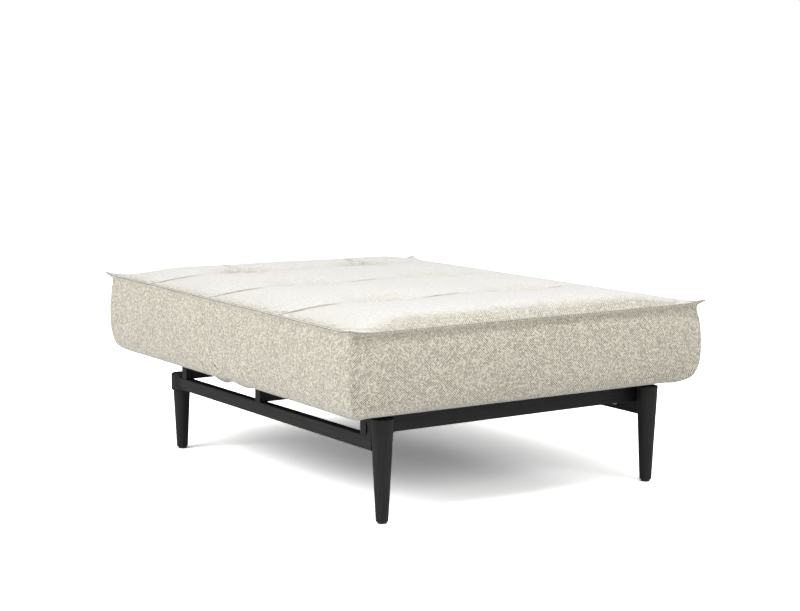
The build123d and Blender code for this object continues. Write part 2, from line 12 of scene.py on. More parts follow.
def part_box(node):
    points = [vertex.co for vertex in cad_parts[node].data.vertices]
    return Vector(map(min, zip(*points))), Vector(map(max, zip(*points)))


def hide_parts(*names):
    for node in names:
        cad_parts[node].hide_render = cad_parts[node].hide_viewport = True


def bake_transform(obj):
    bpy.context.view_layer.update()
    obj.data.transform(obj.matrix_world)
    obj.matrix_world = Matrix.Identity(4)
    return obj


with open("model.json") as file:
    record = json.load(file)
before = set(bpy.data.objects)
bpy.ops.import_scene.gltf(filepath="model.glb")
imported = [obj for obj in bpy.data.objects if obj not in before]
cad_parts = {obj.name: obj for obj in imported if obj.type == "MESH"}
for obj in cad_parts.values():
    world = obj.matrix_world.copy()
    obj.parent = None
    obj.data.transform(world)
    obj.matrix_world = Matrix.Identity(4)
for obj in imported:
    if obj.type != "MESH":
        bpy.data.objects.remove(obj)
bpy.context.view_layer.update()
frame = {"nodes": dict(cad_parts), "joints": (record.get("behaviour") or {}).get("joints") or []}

# Photograph: where the camera stood, its lens and the frame that it saw
camera_place = (-2.378, -3.599, 0.936)
camera_view = (0.5510, 0.8242, -0.1310)
camera_roll = 0.003
camera_lens = 83.6
camera_sensor = 36.0

# Mattress, in metres, its outer sizes and fold from the frame
_, seat_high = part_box("seat_pad")
_, back_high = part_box("back_pad")
ear_reach = 0.008
ear_run = 0.055
ear_lift = 0.009
ear_sharpness = 2.2
half_width = seat_high.x - ear_reach
half_length = back_high.y - ear_reach
fold_place = Vector(next(joint["pos_m"] for joint in frame["joints"] if joint["name"] == "back_fold"))
fold_y = fold_place.y
flange_top = 0.4035
row_front_y = -0.255
row_rear_y = 0.362
tuft_x = 0.177
row_drop = 0.0055
row_reach_front = 0.045
row_reach_behind = 0.050
crest_height = 0.4242
tuft_drop = 0.024
tuft_reach_front = 0.040
tuft_reach_behind = 0.160
tuft_reach_rearmost = 0.080
tuft_reach_across = 0.090
tuft_steepness = 1.6
tuft_roundness = 1.5
side_rise_run = 0.143
side_rise_power = 1.25
end_rise_run = 0.135
end_rise_power = 2.8

# Lower edge of the cover, where it hangs beside the steel frames
hang_top = 0.25
hang_run = 0.025
hang_inset = 0.0508
side_sag = 0.0045
side_sag_turn = 0.03
corner_sag = 0.002
corner_sag_run = 0.16
lump_reach = 0.05

# Rings of the cover from the top seam outwards, down the side and under, as inset, height above the floor,
# corner radius and the share of the ear's reach that the ring takes at a corner
flange_rings = (
    (0.0138, 0.4035, 0.005, 0.50),
    (0.0128, 0.4016, 0.005, 0.55),
    (0.0112, 0.4034, 0.005, 0.62),
    (0.0044, 0.4041, 0.004, 0.80),
    (0.0014, 0.4035, 0.003, 0.95),
    (0.0004, 0.4020, 0.003, 1.00),
    (0.0014, 0.4000, 0.003, 0.95),
    (0.0052, 0.3984, 0.004, 0.80),
    (0.0092, 0.3966, 0.005, 0.55),
    (0.0108, 0.3936, 0.006, 0.38),
)
side_rings = (
    (0.0096, 0.3896, 0.007, 0.24),
    (0.0072, 0.3845, 0.008, 0.12),
    (0.0048, 0.3770, 0.008, 0.04),
    (0.0029, 0.3670, 0.008, 0.0),
    (0.0015, 0.3550, 0.008, 0.0),
    (0.0006, 0.3415, 0.008, 0.0),
    (0.0001, 0.3270, 0.008, 0.0),
    (0.0000, 0.3125, 0.008, 0.0),
    (0.0001, 0.2985, 0.008, 0.0),
    (0.0006, 0.2855, 0.008, 0.0),
    (0.0013, 0.2735, 0.008, 0.0),
    (0.0022, 0.2640, 0.008, 0.0),
    (0.0035, 0.2565, 0.009, 0.0),
    (0.0052, 0.2500, 0.009, 0.0),
    (0.0080, 0.2440, 0.009, 0.0),
    (0.0118, 0.2390, 0.009, 0.0),
    (0.0170, 0.2345, 0.009, 0.0),
    (0.0240, 0.2310, 0.009, 0.0),
    (0.0330, 0.2275, 0.009, 0.0),
    (0.0420, 0.2250, 0.009, 0.0),
    (0.0475, 0.2243, 0.009, 0.0),
    (0.0500, 0.2260, 0.009, 0.0),
    (0.0506, 0.2300, 0.009, 0.0),
    (0.0510, 0.2337, 0.009, 0.0),
)
neck_heights = (0.31, 0.4005)
side_neck_share = 0.45

# How the real mattress's corners stand off from a true block, as (left or right, front or rear, move)
corner_moves = (
    (-1, -1, (-0.013, 0.012, 0.0)),
    (1, -1, (0.0, 0.0, 0.001)),
    (-1, 1, (0.0, 0.0, 0.006)),
    (1, 1, (0.0, 0.0, -0.004)),
)
corner_lift_start = 0.25
corner_lift_run = 0.15
near_corner_bulge = 0.005
near_bulge_height = 0.325
near_bulge_spread = 0.045
near_bulge_sharpness = 6
corner_crease = 0.8

# Lines of the cover's net: how closely they bunch at sewn places, and their counts between these
line_bunching = 0.62
lines_across = (24, 38)
lines_along = (32, 34, 30, 20)

# Where the creases of the top and of the sides begin and end, by slope, height and inset
top_foot = 0.385
top_slope = 0.3
top_slope_run = 0.4
inner_inset = 0.014
inner_run = 0.010
side_top = 0.386
side_top_run = 0.02
side_foot = 0.228
side_foot_run = 0.03
long_side_reach = 0.03
long_side_end = 0.05

# Random waves: how many make one field, the spread of their lengths and what brings their sum to about 1
wave_count = 14
wave_spread = (0.7, 1.4)
wave_peak = 1.6

# Sewn rows and the ripples that their thread draws up
row_groove_depth = 0.0022
row_groove_reach = 0.0028
ripple_height = 0.0003
ripple_length = 0.016
ripple_reach = 0.016
ripple_start = 0.003
ripple_seed = 31

# Pleats that run out from each tuft, as two counts and the ring where they are highest
pleat_height = 0.0006
pleat_counts = (9, 14)
pleat_second_share = 0.6
pleat_ring = 0.026
pleat_spread = 0.018

# Tucks inside the flange, and the slack and crimp of the sides
tuck_height = 0.0002
tuck_length = 0.013
tuck_inset = 0.021
tuck_spread = 0.007
tuck_seed = 47
slack_height = 0.0012
slack_lengths = (0.20, 0.2, 0.13)
slack_seed = 61
crimp_height = 0.0001
crimp_lengths = (0.022, 0.2, 0.09)
crimp_seed = 67
side_spacing = 0.31

# Fold seam on the two long sides: its groove, the ridges beside it and the bunched fabric under it, as
# creases (slope, place, depth, spread) and lumps of the lower edge (place, spread, depth), placed from the
# fold; the ridge beside each crease is placed and spread in spreads of the crease
fold_side_lead = 0.0015
fold_groove_depth = 0.0022
fold_groove_spread = 0.004
fold_groove_foot = 0.285
fold_groove_run = 0.02
fold_ridge_height = 0.0004
fold_ridge_place = 0.016
fold_ridge_spread = 0.009
bunch_top = 0.306
bunch_run = 0.014
bunch_pivot = 0.300
bunch_ridge_share = 0.35
bunch_ridge_place = 2.4
bunch_ridge_spread = 1.7
bunch_creases = ((0.83, -0.019, 0.0070, 0.0036), (0.0, 0.016, 0.0030, 0.0040))
bunch_lumps = ((0.045, 0.012, 0.0070), (-0.014, 0.009, -0.0070), (-0.055, 0.014, 0.0050))

# Cloth pass, with the most that it may move the top and the sides
cloth_pressure = 4.0
cloth_frames = 20
cloth_quality = 5
cloth_mass = 0.3
cloth_stretch = 12
cloth_shear = 4
cloth_bending = 0.4
cloth_slack = -0.02
top_cap = 0.0045
top_cap_run = 0.05
seam_cap = 0.0004
side_cap = 0.0015
cover_middle = 0.3
top_band = 0.012
held_below = 0.2360
held_inside_seam = 0.0005
held_beside_row = 0.001
held_round_tuft = 0.010

# Stitches
stitch_pitch = 0.0055
stitch_length = 0.0036
stitch_radius = 0.0012
row_stitch_lead = 0.0032
side_stitch_lead = 0.002
side_stitch_sink = 0.0008
seam_step = 0.004
side_seam_step = 0.003
side_seam_foot = 0.300
row_end_inset = 0.016
ray_reach = 0.05
clear_place = 0.6

# Fabric; the knots' pitch and the twill's turn, repeat and floats are counted in yarns
yarn_pitch = 0.0013
knot_pitch = 2.4
twill_turn = 24.0
twill_repeat = 4.0
twill_float = 1.9
slub_scale = 420.0
cloud_scale = 60.0
fleck_share = 0.3
knot_share = 0.75
slub_share = 0.5
cloud_share = 0.2
under_share = 0.6
dark_limits = (1.0, 1.68)
weft_height = 0.8
fleck_height = 0.35
yarn_height = 0.0005
yarn_relief = 0.5
cream = (0.87, 0.82, 0.69)
taupe = (0.21, 0.183, 0.14)
# Painted sheen: the flat top is painted paler, with fewer dark yarns, for the light and sheen that fall on
# it
painted_sheen_colour = (0.95, 0.93, 0.88)
painted_sheen_cover = 0.62
painted_sheen_slopes = (0.93, 0.998)
# Thread colours: the thread's own tone darkened with painted shade of the needle holes and the gaps between
# stitches
thread_and_hole_shade_dark = (0.095, 0.080, 0.055)
thread_and_hole_shade_light = (0.19, 0.165, 0.12)

# Timber: its stain, and its grain as noise scales across and along it
stain_dark = (0.0105, 0.0103, 0.0100)
stain_light = (0.0170, 0.0166, 0.0161)
grain_across = 230.0
grain_along = 9.0

# Room; the floor is bleached for the camera alone, and glows beyond the shadow
floor_reach = 9.0
floor_glow = 0.6
floor_albedo = 0.8
floor_bleach = 1.85
shadow_centre = (0.0, -0.05, 0.0)
shadow_fade = (0.4, 1.1)
lamps = (
    ("softbox", (0.0, -1.25, 2.35), (0.0, 0.0, 0.2), (1.6, 0.8), 17.0),
    ("left_fill", (-3.0, 0.2, 2.0), (0.0, 0.0, 0.3), (2.2, 2.0), 62.0),
    ("right_fill", (3.0, 0.2, 1.8), (0.0, 0.0, 0.3), (2.2, 1.6), 12.0),
    ("front_fill", (0.5, -3.4, 2.1), (0.0, 0.0, 0.3), (2.0, 1.6), 24.0),
)
world_light = 0.46


class Value:
    """A number in a material; arithmetic on it adds Math nodes."""

    def __init__(self, shader, socket):
        self.shader = shader
        self.socket = socket

    def maths(self, operation, *others):
        node = self.shader.add("Math", {"operation": operation}, dict(enumerate((self, *others))))
        return Value(self.shader, node.outputs[0])

    def __add__(self, other):
        return self.maths("ADD", other)

    def __sub__(self, other):
        return self.maths("SUBTRACT", other)

    def __mul__(self, other):
        return self.maths("MULTIPLY", other)

    def __truediv__(self, other):
        return self.maths("DIVIDE", other)

    def __rsub__(self, other):
        return (self * -1.0).maths("ADD", other)

    def __mod__(self, other):
        return self.maths("FLOORED_MODULO", other)

    def __lt__(self, other):
        return self.maths("LESS_THAN", other)

    def __abs__(self):
        return self.maths("ABSOLUTE")

    __radd__ = __add__
    __rmul__ = __mul__

    def floor(self):
        return self.maths("FLOOR")

    def power(self, exponent):
        return self.maths("POWER", exponent)


class Shader:
    """A material with one Principled shader and a method that adds any other node."""

    def __init__(self, name, **principled):
        self.material = bpy.data.materials.new(name)
        self.material.use_nodes = True
        self.tree = self.material.node_tree
        self.surface = self.tree.nodes["Principled BSDF"]
        for socket, value in principled.items():
            label = socket.replace("_", " ").title().replace("Ior", "IOR")
            self.surface.inputs[label].default_value = value

    def add(self, kind, settings=None, sockets=None):
        """Adds a node, makes its settings first and then feeds its sockets with values or links."""
        node = self.tree.nodes.new("ShaderNode" + kind)
        for key, setting in (settings or {}).items():
            setattr(node, key, setting)
        for key, source in (sockets or {}).items():
            self.feed(node.inputs[key], source)
        return node

    def feed(self, socket, source):
        """Gives a socket a value, or a link where the source is a Value or another socket."""
        if isinstance(source, Value):
            source = source.socket
        if isinstance(source, bpy.types.NodeSocket):
            self.tree.links.new(source, socket)
        elif socket.type == "RGBA" and len(source) == 3:
            socket.default_value = (*source, 1.0)
        else:
            socket.default_value = source

    def place(self, scale=(1.0, 1.0, 1.0)):
        """Object coordinates, scaled."""
        coordinates = self.add("TexCoord")
        mapping = self.add("Mapping", {}, {"Vector": coordinates.outputs["Object"], "Scale": scale})
        return mapping.outputs["Vector"]

    def noise(self, vector, scale, detail=3.0, roughness=0.5):
        node = self.add(
            "TexNoise", {}, {"Vector": vector, "Scale": scale, "Detail": detail, "Roughness": roughness}
        )
        return Value(self, node.outputs["Fac"])

    def mix(self, share, first, second):
        """Colour between two colours."""
        node = self.add("Mix", {"data_type": "RGBA"})
        self.feed(node.inputs[0], share)
        self.feed(node.inputs[6], first)
        self.feed(node.inputs[7], second)
        return node.outputs[2]

    def steps(self, value, low, high):
        """Value brought smoothly from 0 at low to 1 at high."""
        node = self.add(
            "MapRange", {"interpolation_type": "SMOOTHSTEP"}, {0: value, 1: low, 2: high, 3: 0.0, 4: 1.0}
        )
        return Value(self, node.outputs[0])

    def bump(self, height, distance, strength=1.0):
        node = self.add("Bump", {}, {"Strength": strength, "Distance": distance, "Height": height})
        self.feed(self.surface.inputs["Normal"], node.outputs["Normal"])

    def colour(self, source):
        self.feed(self.surface.inputs["Base Color"], source)

    def rough(self, source):
        self.feed(self.surface.inputs["Roughness"], source)


def tweed():
    """Flecked cream tweed in a small broken twill, drawn on the cover's own weave map. On flat parts of the
    top a painted sheen makes the colour paler, hides part of the dark yarns and flattens the relief: painted
    light standing in for the light and sheen that fall on the top."""
    shader = Shader(
        "cover_tweed", roughness=0.95, sheen_weight=0.8, sheen_roughness=0.35, specular_ior_level=0.2
    )
    weave = shader.add("UVMap", {"uv_map": "weave"})
    axes = shader.add("SeparateXYZ", {}, {0: weave.outputs["UV"]})
    warp = Value(shader, axes.outputs[0]) / yarn_pitch
    weft = Value(shader, axes.outputs[1]) / yarn_pitch
    warp_number = warp.floor()
    weft_number = weft.floor()
    turn = ((warp / twill_turn).floor() % 2.0) * 2.0 - 1.0
    over = ((warp_number + weft_number * turn) % twill_repeat) < twill_float
    warp_round = 1.0 - ((warp - warp_number) * 2.0 - 1.0).power(2.0)
    weft_round = 1.0 - ((weft - weft_number) * 2.0 - 1.0).power(2.0)
    cell = shader.add("CombineXYZ", {}, {0: warp_number, 1: weft_number, 2: 0.0})
    random = shader.add("TexWhiteNoise", {"noise_dimensions": "3D"}, {"Vector": cell.outputs[0]})
    fleck = Value(shader, random.outputs["Value"])
    knot_places = {0: (warp / knot_pitch).floor(), 1: (weft / knot_pitch).floor(), 2: 1.0}
    knot_cell = shader.add("CombineXYZ", {}, knot_places)
    random = shader.add("TexWhiteNoise", {"noise_dimensions": "3D"}, {"Vector": knot_cell.outputs[0]})
    knot = Value(shader, random.outputs["Value"])
    slub = shader.noise(weave.outputs["UV"], slub_scale, 2.0, 0.6)
    cloud = shader.noise(weave.outputs["UV"], cloud_scale, 2.0, 0.5)
    under = 1.0 - over
    depth = fleck * fleck_share + knot * knot_share + slub * slub_share + cloud * cloud_share
    dark = shader.steps(depth + under * under_share, *dark_limits)
    # Painted sheen: paler colour and less relief where the cover lies flat, standing in for the light on the
    # top
    painted_sheen = Value(shader, shader.add("Attribute", {"attribute_name": "painted_sheen"}).outputs["Fac"])
    cream_under_painted_sheen = shader.mix(painted_sheen, cream, painted_sheen_colour)
    share_without_painted_sheen = 1.0 - painted_sheen * painted_sheen_cover
    shader.colour(shader.mix(dark * share_without_painted_sheen, cream_under_painted_sheen, taupe))
    height = over * warp_round + under * weft_round * weft_height
    shader.bump((height + fleck * fleck_height) * share_without_painted_sheen, yarn_height, yarn_relief)
    return shader.material


def thread():
    """Twisted sewing thread, painted much darker than the cover: its own colour with painted shade of the
    needle holes and the gaps between stitches.
    """
    shader = Shader("stitch_thread", roughness=0.9, specular_ior_level=0.1)
    twist = shader.noise(shader.place(), 900.0, 1.0)
    shader.colour(shader.mix(twist, thread_and_hole_shade_dark, thread_and_hole_shade_light))
    shader.bump(twist, 0.0002, 0.4)
    return shader.material


def stained_wood(name, stretch):
    """Black stained timber whose grain runs along the axis with the small stretch."""
    shader = Shader(name, specular_ior_level=0.35)
    grain_place = shader.place(stretch)
    grain = shader.noise(grain_place, 1.0, 6.0, 0.62)
    pores = shader.noise(grain_place, 3.4, 2.0, 0.5)
    wear = shader.noise(shader.place(), 9.0, 3.0)
    streak = shader.steps(grain + (pores - 0.5) * 0.5, 0.35, 0.72)
    shader.colour(shader.mix(streak, stain_dark, stain_light))
    shader.rough(0.46 + (1.0 - streak) * 0.08 + wear * 0.08)
    shader.bump(grain * 0.7 + pores * 0.5, 0.0003, 0.25)
    return shader.material


def plated_steel():
    """Zinc plated steel with the cloudy look of the plating."""
    shader = Shader("plated_steel", metallic=1.0)
    cloud = shader.noise(shader.place(), 160.0, 4.0)
    shader.colour(shader.mix(cloud, (0.30, 0.30, 0.31), (0.42, 0.415, 0.40)))
    shader.rough(0.28 + cloud * 0.22)
    shader.bump(cloud, 0.0001, 0.3)
    return shader.material


def powder_coat():
    """Black powder coat with its fine orange peel."""
    shader = Shader("powder_coat")
    peel = shader.noise(shader.place(), 900.0, 2.0)
    shader.colour(shader.mix(peel, (0.014, 0.014, 0.015), (0.024, 0.024, 0.025)))
    shader.rough(0.46 + peel * 0.12)
    shader.bump(peel, 0.0002, 0.3)
    return shader.material


def glide_plastic():
    """Dull black plastic, scuffed where it slides."""
    shader = Shader("glide_plastic")
    scuff = shader.noise(shader.place((1.0, 1.0, 0.2)), 420.0, 4.0, 0.7)
    shader.colour(shader.mix(scuff, (0.02, 0.02, 0.02), (0.055, 0.053, 0.05)))
    shader.rough(0.45 + scuff * 0.3)
    shader.bump(scuff, 0.0002, 0.3)
    return shader.material


def woven(name, pitch, low, high, bump_depth):
    """Plain weave for the straps and the cloths under the filling."""
    shader = Shader(name, roughness=0.85)
    place = shader.place()
    axes = shader.add("SeparateXYZ", {}, {0: place})
    across = Value(shader, axes.outputs[0]) / pitch
    along = Value(shader, axes.outputs[1]) / pitch
    across_round = abs((across % 2.0) - 1.0)
    along_round = abs((along % 2.0) - 1.0)
    over = ((across.floor() + along.floor()) % 2.0) < 0.5
    height = over * across_round + (1.0 - over) * along_round
    fuzz = shader.noise(place, 700.0, 2.0)
    # Colour darker towards each yarn's edges, painted shade in the hollows between the yarns, with random
    # tone from the fuzz
    shader.colour(shader.mix(height * 0.7 + fuzz * 0.3, low, high))
    shader.bump(height + fuzz * 0.4, bump_depth, 0.5)
    return shader.material


def finish_frame():
    """Gives every piece that the construction already shows its finish."""
    upright = stained_wood("stained_leg", (grain_across, grain_across, grain_along))
    lengthwise = stained_wood("stained_side_rail", (grain_across, grain_along, grain_across))
    crosswise = stained_wood("stained_cross_rail", (grain_along, grain_across, grain_across))
    steel = plated_steel()
    coat = powder_coat()
    plastic = glide_plastic()
    strap = woven("strap_weave", 0.0016, (0.02, 0.02, 0.02), (0.07, 0.068, 0.065), 0.0004)
    lining = woven("lining_weave", 0.0009, (0.016, 0.016, 0.017), (0.045, 0.045, 0.047), 0.0002)
    finishes = (
        ("_studs", steel),
        ("foot_glide", plastic),
        ("leg_", upright),
        ("side_rail", lengthwise),
        ("cross_rail", crosswise),
        ("_webbing", strap),
        ("_dust_cloth", lining),
        ("_frame_bolts", steel),
        ("_frame_", coat),
    )
    for name, node in frame["nodes"].items():
        finish = next((finish for part, finish in finishes if part in name), steel)
        node.data.materials.clear()
        node.data.materials.append(finish)


def graded(start, end, count):
    """Lines from start to end that lie closer together near both ends."""
    even = np.linspace(0, 1, count + 1)
    return start + (end - start) * (even - line_bunching * np.sin(2 * math.pi * even) / (2 * math.pi))


def chain(places, counts):
    """Graded lines through a list of places."""
    parts = [graded(a, b, count)[:-1] for a, b, count in zip(places, places[1:], counts)]
    return np.concatenate(parts + [[places[-1]]])


def rise(distance, run, power):
    """Share of the full crown at a distance inside the seam."""
    return 1 - (1 - np.clip(distance / run, 0, 1)) ** power


def top_height(x, y):
    """Height of the filled top: an edge rise all round, three sewn rows and two tufts in each row."""
    inset = flange_rings[0][0]
    across = rise(half_width - inset - np.abs(x), side_rise_run, side_rise_power)
    along = rise(half_length - inset - np.abs(y), end_rise_run, end_rise_power)
    row, pull = np.zeros_like(x), np.zeros_like(x)
    for row_y in (row_front_y, fold_y, row_rear_y):
        gap = y - row_y
        reach = np.where(gap < 0, row_reach_front, row_reach_behind)
        row = np.maximum(row, np.exp(-np.abs(gap) / reach))
        behind = tuft_reach_rearmost if row_y == row_rear_y else tuft_reach_behind
        reach = np.where(gap < 0, tuft_reach_front, behind)
        for side in (-1, 1):
            far = np.hypot((x - side * tuft_x) / tuft_reach_across, gap / reach)
            pull = np.maximum(pull, np.exp(-tuft_steepness * far**tuft_roundness))
    crown = crest_height - flange_top - row_drop * row
    return flange_top + crown * across * along - tuft_drop * pull * np.minimum(across, along)


def rounded(x, y, half_x, half_y, radius):
    """Points on a rectangle's edge moved onto its corner arcs."""
    centre_x = np.clip(x, -(half_x - radius), half_x - radius)
    centre_y = np.clip(y, -(half_y - radius), half_y - radius)
    off_x, off_y = x - centre_x, y - centre_y
    far = np.maximum(np.hypot(off_x, off_y), 1e-9)
    return centre_x + off_x * radius / far, centre_y + off_y * radius / far


def ear(x, y):
    """How much of the ear's reach a point near a corner takes."""
    far = np.maximum(half_width - np.abs(x), half_length - np.abs(y))
    near = np.clip(1 - far / ear_run, 0, 1)
    return near**ear_sharpness


def ring_points(across, along, ring):
    """Points of one ring of the cover, for the grid's edge points given as shares of the half sizes."""
    inset, height, radius, ear_share = ring
    neck = side_neck_share if neck_heights[0] < height < neck_heights[1] else 1.0
    half_x, half_y = half_width - inset * neck, half_length - inset
    x, y = across * half_x, along * half_y
    tip = ear(x, y) * ear_share
    x, y = rounded(x, y, half_x, half_y, radius)
    x = x + np.sign(across) * ear_reach * tip
    y = y + np.sign(along) * ear_reach * tip
    return np.stack([x, y, np.full_like(x, height) + ear_lift * tip], 1)


def sagging(points):
    """How far the cover's lower edge hangs below its rings: at the front corners, on the long sides and in
    the lumps under the fold."""
    x, y, z = points.T
    inset = np.minimum(half_width - np.abs(x), half_length - np.abs(y))
    share = np.clip((hang_top - z) / hang_run, 0, 1) * (inset < hang_inset)
    drop = corner_sag * np.exp(-(half_width - np.abs(x) + y + half_length) / corner_sag_run)
    long_side = np.abs(x) - half_width - np.abs(y) + half_length
    drop += side_sag * np.clip(long_side / side_sag_turn + 0.5, 0, 1)
    for place, spread, depth in bunch_lumps:
        lump = np.exp(-(((y - place) / spread) ** 2))
        drop += depth * lump * (half_width - np.abs(x) < lump_reach)
    return share * drop


def settled(points):
    """Points of the true block moved with its corners, which the filling pushes out of square."""
    x, y, z = points.T
    moved = points.copy()
    high = np.clip((z - corner_lift_start) / corner_lift_run, 0, 1)
    for right, rear, move in corner_moves:
        across = np.clip((1 + right * x / half_width) / 2, 0, 1)
        along = np.clip((1 + rear * y / half_length) / 2, 0, 1)
        near = across * along
        moved[:, 0] += move[0] * near**2
        moved[:, 1] += move[1] * near**2
        moved[:, 2] += move[2] * near * high
        if (right, rear) == (-1, -1):
            belly = np.exp(-(((z - near_bulge_height) / near_bulge_spread) ** 2))
            moved[:, 0] -= near_corner_bulge * near**near_bulge_sharpness * belly
    return moved


def sine_field(places, lengths, seed):
    """Smooth random values between about -1 and 1 over places, wavy at the given lengths."""
    draw = np.random.default_rng(seed)
    total = np.zeros(len(places))
    for _ in range(wave_count):
        turn = draw.normal(size=places.shape[1])
        turn = turn / np.linalg.norm(turn) * draw.uniform(*wave_spread) / np.array(lengths)
        total += np.sin(2 * math.pi * (places @ turn + draw.uniform()))
    return total / math.sqrt(wave_count / 2) / wave_peak


def cover_mesh():
    """The whole cover as one closed net of lines: top, flange, sides and underside, with its weave map and
    the edges of its four upright corners."""
    inset = flange_rings[0][0]
    half_x, half_y = half_width - inset, half_length - inset
    outer, middle = lines_across
    xs = chain((-half_x, -tuft_x, tuft_x, half_x), (outer, middle, outer))
    ys = chain((-half_y, row_front_y, fold_y, row_rear_y, half_y), lines_along)
    columns, rows = len(xs), len(ys)
    grid_x, grid_y = np.meshgrid(xs, ys, indexing="ij")
    top = np.stack([grid_x, grid_y, top_height(grid_x, grid_y)], -1).reshape(-1, 3)
    number = np.arange(columns * rows).reshape(columns, rows)
    edge = np.concatenate([number[:, 0], number[-1, 1:], number[-2::-1, -1], number[0, -2:0:-1]])
    across, along = top[edge, 0] / half_x, top[edge, 1] / half_y
    lengths = np.linalg.norm(np.diff(top[edge, :2], axis=0, append=top[edge[:1], :2]), axis=1)
    starts = np.cumsum(lengths) - lengths
    top[edge] = ring_points(across, along, flange_rings[0])
    points, loops = [top], [edge]
    for ring in (*flange_rings[1:], *side_rings):
        loops.append(columns * rows + len(edge) * (len(loops) - 1) + np.arange(len(edge)))
        points.append(ring_points(across, along, ring))
    points = np.concatenate(points)
    points[:, 2] -= sagging(points)
    faces = np.stack([number[:-1, :-1], number[1:, :-1], number[1:, 1:], number[:-1, 1:]], -1)
    faces = faces.reshape(-1, 4)
    weave = [points[faces.ravel(), :2]]
    faces = faces.tolist()
    profile = np.array([ring[:2] for ring in (*flange_rings, *side_rings)])
    depths = np.concatenate([[0], np.cumsum(np.linalg.norm(np.diff(profile, axis=0), axis=1))])
    for upper, lower, high, low in zip(loops, loops[1:], depths, depths[1:]):
        quads = np.stack([upper, lower, np.roll(lower, -1), np.roll(upper, -1)], 1)
        faces.extend(quads.tolist())
        ends = starts + lengths
        around = np.stack([starts, starts, ends, ends], 1).ravel()
        down = np.tile([-high, -low, -low, -high], len(edge))
        weave.append(np.stack([around, down], 1))
    last = loops[-1]
    front, right = last[:columns], last[columns - 1 : columns + rows - 1]
    rear = last[columns + rows - 2 : 2 * columns + rows - 2][::-1]
    left = np.concatenate([last[:1], last[2 * columns + rows - 2 :][::-1], rear[:1]])
    under = [[left[1], right[1], *front[::-1]]]
    under += [[left[k], left[k + 1], right[k + 1], right[k]] for k in range(1, rows - 2)]
    under.append([right[-2], left[-2], *rear])
    for face in under:
        faces.append([int(corner) for corner in face])
        weave.append(points[faces[-1], :2])
    corners = (0, columns - 1, columns + rows - 2, 2 * columns + rows - 3)
    upright = {(int(high[c]), int(low[c])) for high, low in zip(loops, loops[1:]) for c in corners}
    return points, faces, np.concatenate(weave), upright


def held_share(points):
    """1 where the cover is sewn or rests on the frame, 0 where the filling may push it out."""
    x, y, z = points.T
    inset = np.minimum(half_width - np.abs(x), half_length - np.abs(y))
    held = (z > side_top) & (inset < flange_rings[0][0] + held_inside_seam)
    held |= z < held_below
    on_top = (inset > flange_rings[0][0]) & (z > cover_middle)
    for row_y in (row_front_y, fold_y, row_rear_y):
        held |= on_top & (np.abs(y - row_y) < held_beside_row)
        for side in (-1, 1):
            held |= on_top & (np.hypot(x - side * tuft_x, y - row_y) < held_round_tuft)
    return held.astype(float)


def filled(cover, points, held):
    """Lets the filling push the cover out between its seams, by at most the caps."""
    group = cover.vertex_groups.new(name="held")
    group.add(np.flatnonzero(held > 0.5).tolist(), 1.0, "REPLACE")
    cloth = cover.modifiers.new("filling", "CLOTH")
    settings = cloth.settings
    settings.quality = cloth_quality
    settings.mass = cloth_mass
    settings.tension_stiffness = settings.compression_stiffness = cloth_stretch
    settings.shear_stiffness = cloth_shear
    settings.bending_stiffness = cloth_bending
    settings.use_pressure = True
    settings.uniform_pressure_force = cloth_pressure
    settings.shrink_min = cloth_slack
    settings.vertex_group_mass = "held"
    settings.effector_weights.gravity = 0
    cloth.collision_settings.use_collision = False
    cloth.point_cache.frame_start, cloth.point_cache.frame_end = 1, cloth_frames
    for number in range(1, cloth_frames + 1):
        bpy.context.scene.frame_set(number)
    evaluated = cover.evaluated_get(bpy.context.evaluated_depsgraph_get())
    pushed = read_points(evaluated.data) - points
    cover.modifiers.remove(cloth)
    cover.vertex_groups.remove(group)
    bpy.context.scene.frame_set(1)
    on_top = points[:, 2] > flange_top - top_band
    row_gaps = np.abs(points[:, 1:2] - np.array((row_front_y, fold_y, row_rear_y))).min(1)
    inset = np.minimum(half_width - np.abs(points[:, 0]), half_length - np.abs(points[:, 1]))
    gaps = np.minimum(row_gaps, inset)
    cap = np.where(on_top, top_cap * (1 - np.exp(-gaps / top_cap_run)) + seam_cap, side_cap)
    far = np.maximum(np.linalg.norm(pushed, axis=1), 1e-9)
    return points + pushed * (cap * np.tanh(far / cap) / far)[:, None]


def read_points(mesh):
    points = np.empty(len(mesh.vertices) * 3, np.float32)
    mesh.vertices.foreach_get("co", points)
    return points.reshape(-1, 3).astype(float)


def read_normals(mesh):
    normals = np.empty(len(mesh.vertices) * 3, np.float32)
    mesh.vertex_normals.foreach_get("vector", normals)
    return normals.reshape(-1, 3).astype(float)


def write_points(mesh, points):
    mesh.vertices.foreach_set("co", points.astype(np.float32).ravel())
    mesh.update()


